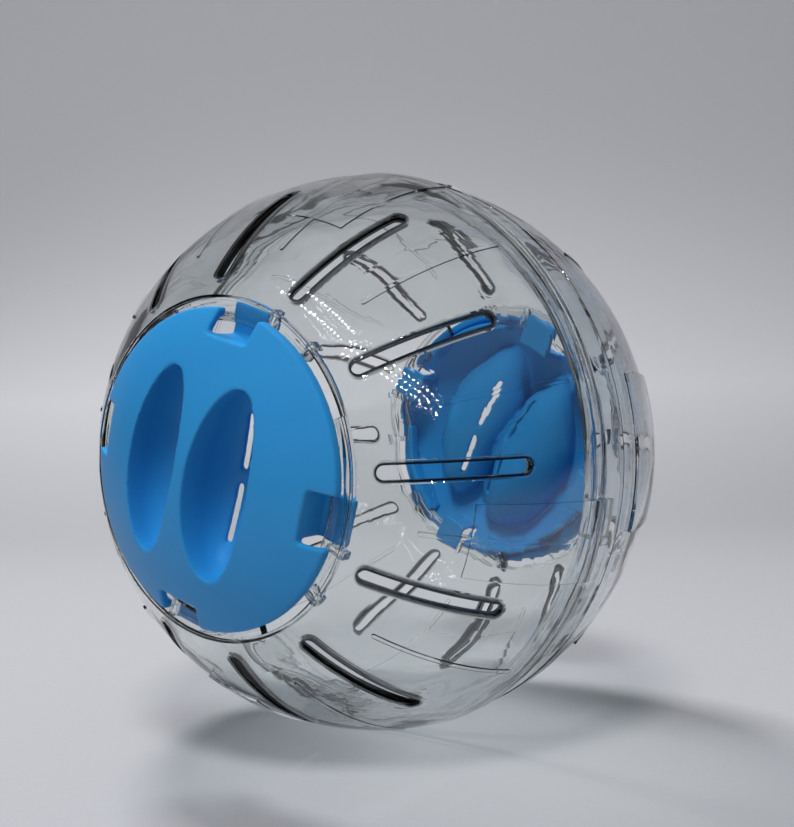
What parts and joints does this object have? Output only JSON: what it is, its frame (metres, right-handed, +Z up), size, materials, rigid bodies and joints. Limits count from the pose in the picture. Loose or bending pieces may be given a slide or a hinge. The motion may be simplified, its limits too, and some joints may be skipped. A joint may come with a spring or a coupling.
{
  "type": "hamster ball",
  "caption": "Clear hollow exercise ball for a hamster, with slotted half shells joined by a twist lock and a blue twist cap with finger recesses at each pole.",
  "frame": {"origin": "centre of the ball", "axes": "+Y along the pole axis from the front cap to the rear cap, so -Y is the front; +Z up; +X to the right seen from the front"},
  "size_m": [0.1394, 0.1414, 0.1394],
  "materials": {
    "rear_clear": "clear, polished, colourless",
    "front_clear": "clear, polished, colourless",
    "front_cap_blue": "satin blue, coloured through",
    "rear_cap_blue": "satin blue, coloured through"
  },
  "bodies": {
    "rear_half": {"rear_half": "rear_clear"},
    "front_half": {"front_half": "front_clear"},
    "front_cap": {"front_cap": "front_cap_blue"},
    "rear_cap": {"rear_cap": "rear_cap_blue"}
  },
  "joints": [
    {"name": "halves_twist", "type": "hinge", "parent": "rear_half", "child": "front_half", "pos_m": [0, 0, 0], "axis": [0, -1, 0], "range_deg": [0, 8.2]},
    {"name": "front_cap_twist", "type": "hinge", "parent": "front_half", "child": "front_cap", "pos_m": [0, -0.0582, 0], "axis": [0, -1, 0], "range_deg": [0, 51]},
    {"name": "rear_cap_twist", "type": "hinge", "parent": "rear_half", "child": "rear_cap", "pos_m": [0, 0.0582, 0], "axis": [0, 1, 0], "range_deg": [0, 51]}
  ]
}
